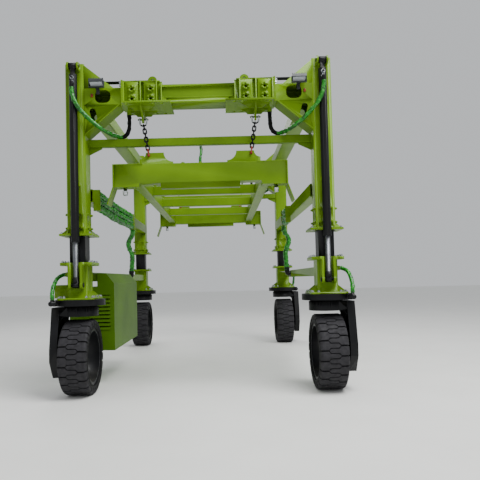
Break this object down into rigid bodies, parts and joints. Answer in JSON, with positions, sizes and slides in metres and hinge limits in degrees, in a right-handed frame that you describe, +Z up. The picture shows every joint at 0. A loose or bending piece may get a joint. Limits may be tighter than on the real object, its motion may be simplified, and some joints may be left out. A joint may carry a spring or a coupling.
{
  "type": "straddle carrier",
  "caption": "Mobile gantry on steered rubber wheels that straddles a freight container, with telescopic masts, a portal frame and a chained spreader.",
  "frame": {"origin": "on the ground, midway between the wheels", "axes": "+X to the machine's right, +Y along the machine from the pictured portal to the far one, +Z up"},
  "size_m": [4.38, 6.9526, 4.88],
  "materials": {
    "lime_paint": "satin paint",
    "black_paint": "satin paint",
    "chromed_rod": "dull chrome",
    "bare_steel": "worn",
    "black_steel": "blackened",
    "rusty_steel": "rust red paint",
    "engine_metal": "cast",
    "rim_grey": "satin paint",
    "tyre_rubber": "matte",
    "pad": "matte",
    "film_hose": "stretch film, wrinkled",
    "lamp_grey": "satin"
  },
  "bodies": {
    "left_side": {"left_lower_frame": "lime_paint", "left_inner_masts": "black_paint", "left_lift_rods": "chromed_rod", "left_slew_drives": "black_paint", "power_pack": "lime_paint", "engine": "engine_metal", "left_slew_hoses": "film_hose"},
    "frame": {"front_crossbeam": "lime_paint", "rear_crossbeam": "lime_paint", "top_side_beams": "lime_paint", "middle_side_beams": "lime_paint", "cross_ties": "lime_paint", "mast_fl": "lime_paint", "mast_fr": "lime_paint", "mast_rl": "lime_paint", "mast_rr": "lime_paint", "guide_pads": "pad", "lift_cylinders": "black_paint", "work_lamps": "lamp_grey", "top_pipes": "black_paint", "front_upper_hoses": "film_hose", "rear_upper_hoses": "film_hose", "left_beam_hoses": "film_hose", "right_beam_hoses": "film_hose", "left_drop_hoses": "film_hose", "right_drop_hoses": "film_hose"},
    "right_side": {"right_lower_frame": "lime_paint", "right_inner_masts": "black_paint", "right_lift_rods": "chromed_rod", "right_slew_drives": "black_paint", "right_slew_hoses": "film_hose"},
    "front_chains": {"chains_front": "black_steel"},
    "rear_chains": {"chains_rear": "black_steel"},
    "spreader": {"spreader_front": "lime_paint", "spreader_rear": "lime_paint", "spreader_rails": "lime_paint", "spreader_ties": "lime_paint", "corner_guides": "lime_paint", "chain_hooks": "rusty_steel", "spreader_hose": "film_hose"},
    "knuckle_fl": {"knuckle_fl": "black_paint"},
    "wheel_fl": {"tyre_fl": "tyre_rubber", "rim_fl": "rim_grey"},
    "twistlock_fl": {"twistlock_fl": "bare_steel"},
    "knuckle_fr": {"knuckle_fr": "black_paint"},
    "wheel_fr": {"tyre_fr": "tyre_rubber", "rim_fr": "rim_grey"},
    "twistlock_fr": {"twistlock_fr": "bare_steel"},
    "knuckle_rl": {"knuckle_rl": "black_paint"},
    "wheel_rl": {"tyre_rl": "tyre_rubber", "rim_rl": "rim_grey"},
    "twistlock_rl": {"twistlock_rl": "bare_steel"},
    "knuckle_rr": {"knuckle_rr": "black_paint"},
    "wheel_rr": {"tyre_rr": "tyre_rubber", "rim_rr": "rim_grey"},
    "twistlock_rr": {"twistlock_rr": "bare_steel"}
  },
  "joints": [
    {"name": "lift", "type": "slide", "parent": "left_side", "child": "frame", "axis": [0, 0, 1], "range_m": [-0.35, 1.55]},
    {"name": "right_lift", "type": "slide", "parent": "frame", "child": "right_side", "axis": [0, 0, -1], "range_m": [-0.35, 1.55]},
    {"name": "steer_fl", "type": "hinge", "parent": "left_side", "child": "knuckle_fl", "pos_m": [-1.825, -2.9265, 1.3], "axis": [0, 0, 1], "range_deg": [-90, 90]},
    {"name": "roll_fl", "type": "hinge", "parent": "knuckle_fl", "child": "wheel_fl", "pos_m": [-1.825, -2.9265, 0.55], "axis": [1, 0, 0], "continuous": true},
    {"name": "steer_fr", "type": "hinge", "parent": "right_side", "child": "knuckle_fr", "pos_m": [1.825, -2.9265, 1.3], "axis": [0, 0, 1], "range_deg": [-90, 90]},
    {"name": "roll_fr", "type": "hinge", "parent": "knuckle_fr", "child": "wheel_fr", "pos_m": [1.825, -2.9265, 0.55], "axis": [1, 0, 0], "continuous": true},
    {"name": "steer_rl", "type": "hinge", "parent": "left_side", "child": "knuckle_rl", "pos_m": [-1.825, 2.9265, 1.3], "axis": [0, 0, 1], "range_deg": [-90, 90]},
    {"name": "roll_rl", "type": "hinge", "parent": "knuckle_rl", "child": "wheel_rl", "pos_m": [-1.825, 2.9265, 0.55], "axis": [1, 0, 0], "continuous": true},
    {"name": "steer_rr", "type": "hinge", "parent": "right_side", "child": "knuckle_rr", "pos_m": [1.825, 2.9265, 1.3], "axis": [0, 0, 1], "range_deg": [-90, 90]},
    {"name": "roll_rr", "type": "hinge", "parent": "knuckle_rr", "child": "wheel_rr", "pos_m": [1.825, 2.9265, 0.55], "axis": [1, 0, 0], "continuous": true},
    {"name": "front_chain_swing", "type": "hinge", "parent": "frame", "child": "front_chains", "pos_m": [0, -2.9265, 4.07], "axis": [1, 0, 0], "range_deg": [-6, 6]},
    {"name": "spreader_swing", "type": "hinge", "parent": "front_chains", "child": "spreader", "pos_m": [0, -2.9265, 3.60975], "axis": [1, 0, 0], "range_deg": [-6, 6]},
    {"name": "rear_chain_swing", "type": "hinge", "parent": "frame", "child": "rear_chains", "pos_m": [0, 2.9265, 4.07], "axis": [1, 0, 0], "range_deg": [-6, 6]},
    {"name": "lock_fl", "type": "hinge", "parent": "spreader", "child": "twistlock_fl", "pos_m": [-1.1295, -2.9265, 3], "axis": [0, 0, 1], "range_deg": [0, 90]},
    {"name": "lock_fr", "type": "hinge", "parent": "spreader", "child": "twistlock_fr", "pos_m": [1.1295, -2.9265, 3], "axis": [0, 0, 1], "range_deg": [0, 90]},
    {"name": "lock_rl", "type": "hinge", "parent": "spreader", "child": "twistlock_rl", "pos_m": [-1.1295, 2.9265, 3], "axis": [0, 0, 1], "range_deg": [0, 90]},
    {"name": "lock_rr", "type": "hinge", "parent": "spreader", "child": "twistlock_rr", "pos_m": [1.1295, 2.9265, 3], "axis": [0, 0, 1], "range_deg": [0, 90]}
  ],
  "couplings": [
    {"joint": "right_lift", "follows": "lift", "ratio": 1},
    {"joint": "spreader_swing", "follows": "front_chain_swing", "ratio": -1},
    {"joint": "rear_chain_swing", "follows": "front_chain_swing", "ratio": 1},
    {"joint": "lock_fr", "follows": "lock_fl", "ratio": 1},
    {"joint": "lock_rl", "follows": "lock_fl", "ratio": 1},
    {"joint": "lock_rr", "follows": "lock_fl", "ratio": 1}
  ]
}
